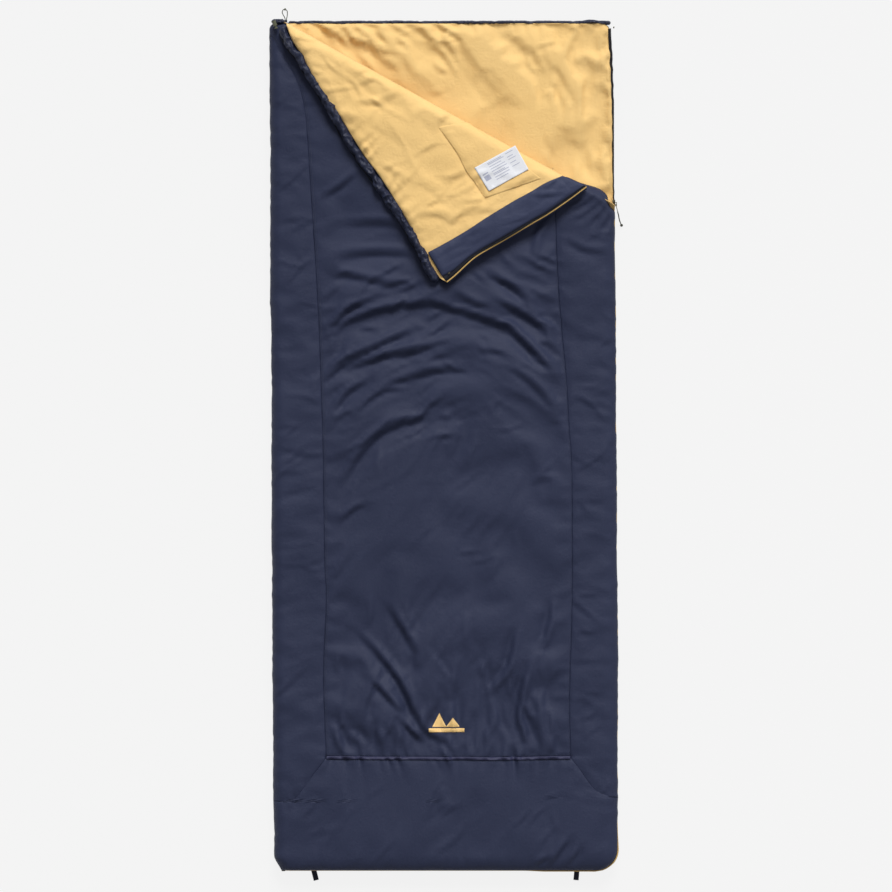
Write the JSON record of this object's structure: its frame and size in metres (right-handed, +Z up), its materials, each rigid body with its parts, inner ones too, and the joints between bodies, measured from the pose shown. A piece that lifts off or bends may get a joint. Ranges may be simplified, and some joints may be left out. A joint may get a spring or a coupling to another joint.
{
  "type": "rectangular sleeping bag",
  "caption": "Rectangular sleeping bag, opened flat, with a zip down one side and across the foot and one head corner of the cover folded back to show the lining.",
  "frame": {"origin": "middle of the flat underside of the back, on the ground", "axes": "+X towards the zip side, +Y towards the head end, +Z up"},
  "size_m": [0.8282, 2.0601, 0.093],
  "materials": {
    "shell_navy": "satin",
    "lining_yellow": "satin",
    "insulation_white": "matte",
    "zip_tape_black": "matte",
    "coil_nylon": "satin",
    "piping_yellow": "satin",
    "piping_violet": "satin",
    "webbing_black": "matte",
    "slider_metal": "satin",
    "cord_olive": "matte",
    "label_white": "satin",
    "lock_plastic": "satin",
    "spring_steel": "satin"
  },
  "bodies": {
    "back": {"back_shell": "shell_navy", "back_insulation": "insulation_white", "back_lining": "lining_yellow", "back_hem": "shell_navy", "back_drawcord": "cord_olive", "back_zip_tape": "zip_tape_black", "back_zip_coil": "coil_nylon", "back_zip_top_stop": "slider_metal", "zip_end_box": "slider_metal", "hang_loop_left": "webbing_black", "hang_loop_right": "webbing_black", "drawcord_tab": "webbing_black", "drawcord_loop": "cord_olive", "drawcord_bead": "webbing_black"},
    "cover": {"cover_centre_panel": "shell_navy", "cover_left_panel": "shell_navy", "cover_right_panel": "shell_navy", "cover_foot_panel": "shell_navy", "cover_insulation": "insulation_white", "cover_lining": "lining_yellow", "cover_hem": "shell_navy", "cover_zip_tape": "zip_tape_black", "cover_zip_coil": "coil_nylon", "cover_zip_piping": "piping_yellow", "foot_seam_piping": "piping_violet", "embroidered_emblem": "piping_yellow", "cord_lock_barrel": "lock_plastic", "cord_lock_spring": "spring_steel"},
    "flap": {"flap_shell": "shell_navy", "flap_insulation": "insulation_white", "flap_lining": "lining_yellow", "flap_hem": "shell_navy", "flap_drawcord": "cord_olive", "flap_zip_tape": "zip_tape_black", "flap_zip_coil": "coil_nylon", "flap_zip_piping": "piping_yellow", "flap_zip_top_stop": "slider_metal", "draft_tube": "shell_navy", "inner_pocket": "lining_yellow", "care_label": "label_white"},
    "slider": {"zip_slider": "slider_metal"},
    "puller": {"puller_tab": "slider_metal", "puller_cord": "cord_olive", "puller_knot": "cord_olive"},
    "lock_plunger": {"cord_lock_plunger": "lock_plastic"}
  },
  "joints": [
    {"name": "cover_open", "type": "hinge", "parent": "back", "child": "cover", "pos_m": [-0.4045, 0, 0.03], "axis": [0, -1, 0], "range_deg": [0, 176]},
    {"name": "corner_fold", "type": "hinge", "parent": "cover", "child": "flap", "pos_m": [0.396, 0.5717, 0.0605], "axis": [-0.875, 0.4842, 0], "range_deg": [0, 177]},
    {"name": "slider_run", "type": "slide", "parent": "back", "child": "slider", "axis": [0, 1, 0], "range_m": [-1.49, 0.395]},
    {"name": "puller_swing", "type": "hinge", "parent": "slider", "child": "puller", "pos_m": [0.40555, 0.5702, 0.03], "axis": [0, 0, 1], "range_deg": [-10, 140]},
    {"name": "lock_press", "type": "slide", "parent": "cover", "child": "lock_plunger", "axis": [-0.33, 0.944, 0], "range_m": [0, 0.0036], "stiffness_N_per_m": 400, "deforming": ["cord_lock_spring"]}
  ]
}
